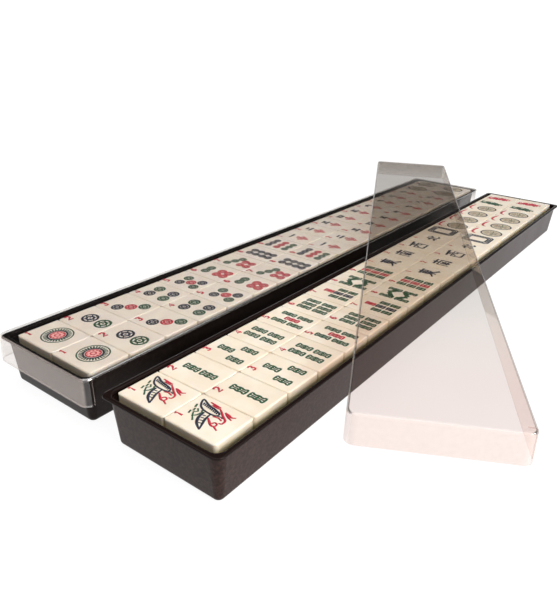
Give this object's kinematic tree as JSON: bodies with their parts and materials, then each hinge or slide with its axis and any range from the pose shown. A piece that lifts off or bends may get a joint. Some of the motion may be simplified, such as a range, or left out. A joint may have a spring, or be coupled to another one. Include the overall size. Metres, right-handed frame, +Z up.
{
  "type": "mahjong case",
  "caption": "Mahjong case of two long open plastic trays packed with cream tiles, one under its clear cover, the other cover lying loose across both.",
  "frame": {"origin": "centre of the underside of the right tray", "axes": "+Z up, +Y along the trays to the far end, +X across the trays, away from the left tray"},
  "size_m": [0.2916, 0.5021, 0.0444],
  "materials": {
    "tray_sheet": "thin vacuum-formed sheet, nearly black brown, glossy",
    "clear_sheet": "thin clear formed sheet, glossy",
    "tile": "polished cream resin, deeper olive in its lower part, with coloured inlaid marks"
  },
  "bodies": {
    "right_tray_body": {"right_tray": "tray_sheet", "bamboo_5": "tile", "bamboo_6": "tile", "bamboo_7": "tile", "bamboo_8": "tile", "bamboo_9": "tile", "east_wind": "tile", "south_wind": "tile", "west_wind": "tile", "north_wind": "tile", "white_dragon": "tile", "flower_1": "tile", "flower_2": "tile", "lower_bamboos": "tile", "lower_winds": "tile", "lower_honours": "tile"},
    "left_tray_body": {"left_tray": "tray_sheet", "dot_1": "tile", "dot_2": "tile", "dot_3": "tile", "dot_4": "tile", "dot_5": "tile", "dot_6": "tile", "dot_7": "tile", "dot_8": "tile", "dot_9": "tile", "character_1": "tile", "character_2": "tile", "character_3": "tile", "character_4": "tile", "character_5": "tile", "character_6": "tile", "character_7": "tile", "character_8": "tile", "character_9": "tile", "joker_1": "tile", "joker_2": "tile", "lower_dots": "tile", "lower_characters": "tile", "lower_jokers": "tile"},
    "left_cover_body": {"left_cover": "clear_sheet"},
    "loose_cover_body": {"loose_cover": "clear_sheet"},
    "lower_bamboo_1_pair": {"lower_bamboo_1": "tile"},
    "bamboo_1_pair": {"bamboo_1": "tile"},
    "lower_bamboo_2_pair": {"lower_bamboo_2": "tile"},
    "bamboo_2_pair": {"bamboo_2": "tile"},
    "lower_bamboo_3_pair": {"lower_bamboo_3": "tile"},
    "bamboo_3_pair": {"bamboo_3": "tile"},
    "lower_bamboo_4_pair": {"lower_bamboo_4": "tile"},
    "bamboo_4_pair": {"bamboo_4": "tile"},
    "lower_flower_3_pair": {"lower_flower_3": "tile"},
    "flower_3_pair": {"flower_3": "tile"},
    "lower_flower_4_pair": {"lower_flower_4": "tile"},
    "flower_4_pair": {"flower_4": "tile"},
    "lower_green_dragon_pair": {"lower_green_dragon": "tile"},
    "green_dragon_pair": {"green_dragon": "tile"},
    "lower_red_dragon_pair": {"lower_red_dragon": "tile"},
    "red_dragon_pair": {"red_dragon": "tile"}
  },
  "joints": [
    {"name": "left_tray_slide", "type": "slide", "parent": "right_tray_body", "child": "left_tray_body", "axis": [-1, 0, 0], "range_m": [0, 0.02]},
    {"name": "left_cover_lift", "type": "slide", "parent": "left_tray_body", "child": "left_cover_body", "axis": [0, 0, 1], "range_m": [0, 0.04]},
    {"name": "loose_cover_lift", "type": "slide", "parent": "left_cover_body", "child": "loose_cover_body", "axis": [0, 0, 1], "range_m": [0, 0.06]},
    {"name": "lower_bamboo_1_lift", "type": "slide", "parent": "right_tray_body", "child": "lower_bamboo_1_pair", "axis": [0, 0, 1], "range_m": [0, 0.03]},
    {"name": "bamboo_1_lift", "type": "slide", "parent": "lower_bamboo_1_pair", "child": "bamboo_1_pair", "axis": [0, 0, 1], "range_m": [0, 0.04]},
    {"name": "lower_bamboo_2_lift", "type": "slide", "parent": "right_tray_body", "child": "lower_bamboo_2_pair", "axis": [0, 0, 1], "range_m": [0, 0.03]},
    {"name": "bamboo_2_lift", "type": "slide", "parent": "lower_bamboo_2_pair", "child": "bamboo_2_pair", "axis": [0, 0, 1], "range_m": [0, 0.04]},
    {"name": "lower_bamboo_3_lift", "type": "slide", "parent": "right_tray_body", "child": "lower_bamboo_3_pair", "axis": [0, 0, 1], "range_m": [0, 0.03]},
    {"name": "bamboo_3_lift", "type": "slide", "parent": "lower_bamboo_3_pair", "child": "bamboo_3_pair", "axis": [0, 0, 1], "range_m": [0, 0.04]},
    {"name": "lower_bamboo_4_lift", "type": "slide", "parent": "right_tray_body", "child": "lower_bamboo_4_pair", "axis": [0, 0, 1], "range_m": [0, 0.03]},
    {"name": "bamboo_4_lift", "type": "slide", "parent": "lower_bamboo_4_pair", "child": "bamboo_4_pair", "axis": [0, 0, 1], "range_m": [0, 0.04]},
    {"name": "lower_flower_3_lift", "type": "slide", "parent": "right_tray_body", "child": "lower_flower_3_pair", "axis": [0, 0, 1], "range_m": [0, 0.03]},
    {"name": "flower_3_lift", "type": "slide", "parent": "lower_flower_3_pair", "child": "flower_3_pair", "axis": [0, 0, 1], "range_m": [0, 0.04]},
    {"name": "lower_flower_4_lift", "type": "slide", "parent": "right_tray_body", "child": "lower_flower_4_pair", "axis": [0, 0, 1], "range_m": [0, 0.03]},
    {"name": "flower_4_lift", "type": "slide", "parent": "lower_flower_4_pair", "child": "flower_4_pair", "axis": [0, 0, 1], "range_m": [0, 0.04]},
    {"name": "lower_green_dragon_lift", "type": "slide", "parent": "right_tray_body", "child": "lower_green_dragon_pair", "axis": [0, 0, 1], "range_m": [0, 0.03]},
    {"name": "green_dragon_lift", "type": "slide", "parent": "lower_green_dragon_pair", "child": "green_dragon_pair", "axis": [0, 0, 1], "range_m": [0, 0.04]},
    {"name": "lower_red_dragon_lift", "type": "slide", "parent": "right_tray_body", "child": "lower_red_dragon_pair", "axis": [0, 0, 1], "range_m": [0, 0.03]},
    {"name": "red_dragon_lift", "type": "slide", "parent": "lower_red_dragon_pair", "child": "red_dragon_pair", "axis": [0, 0, 1], "range_m": [0, 0.04]}
  ]
}
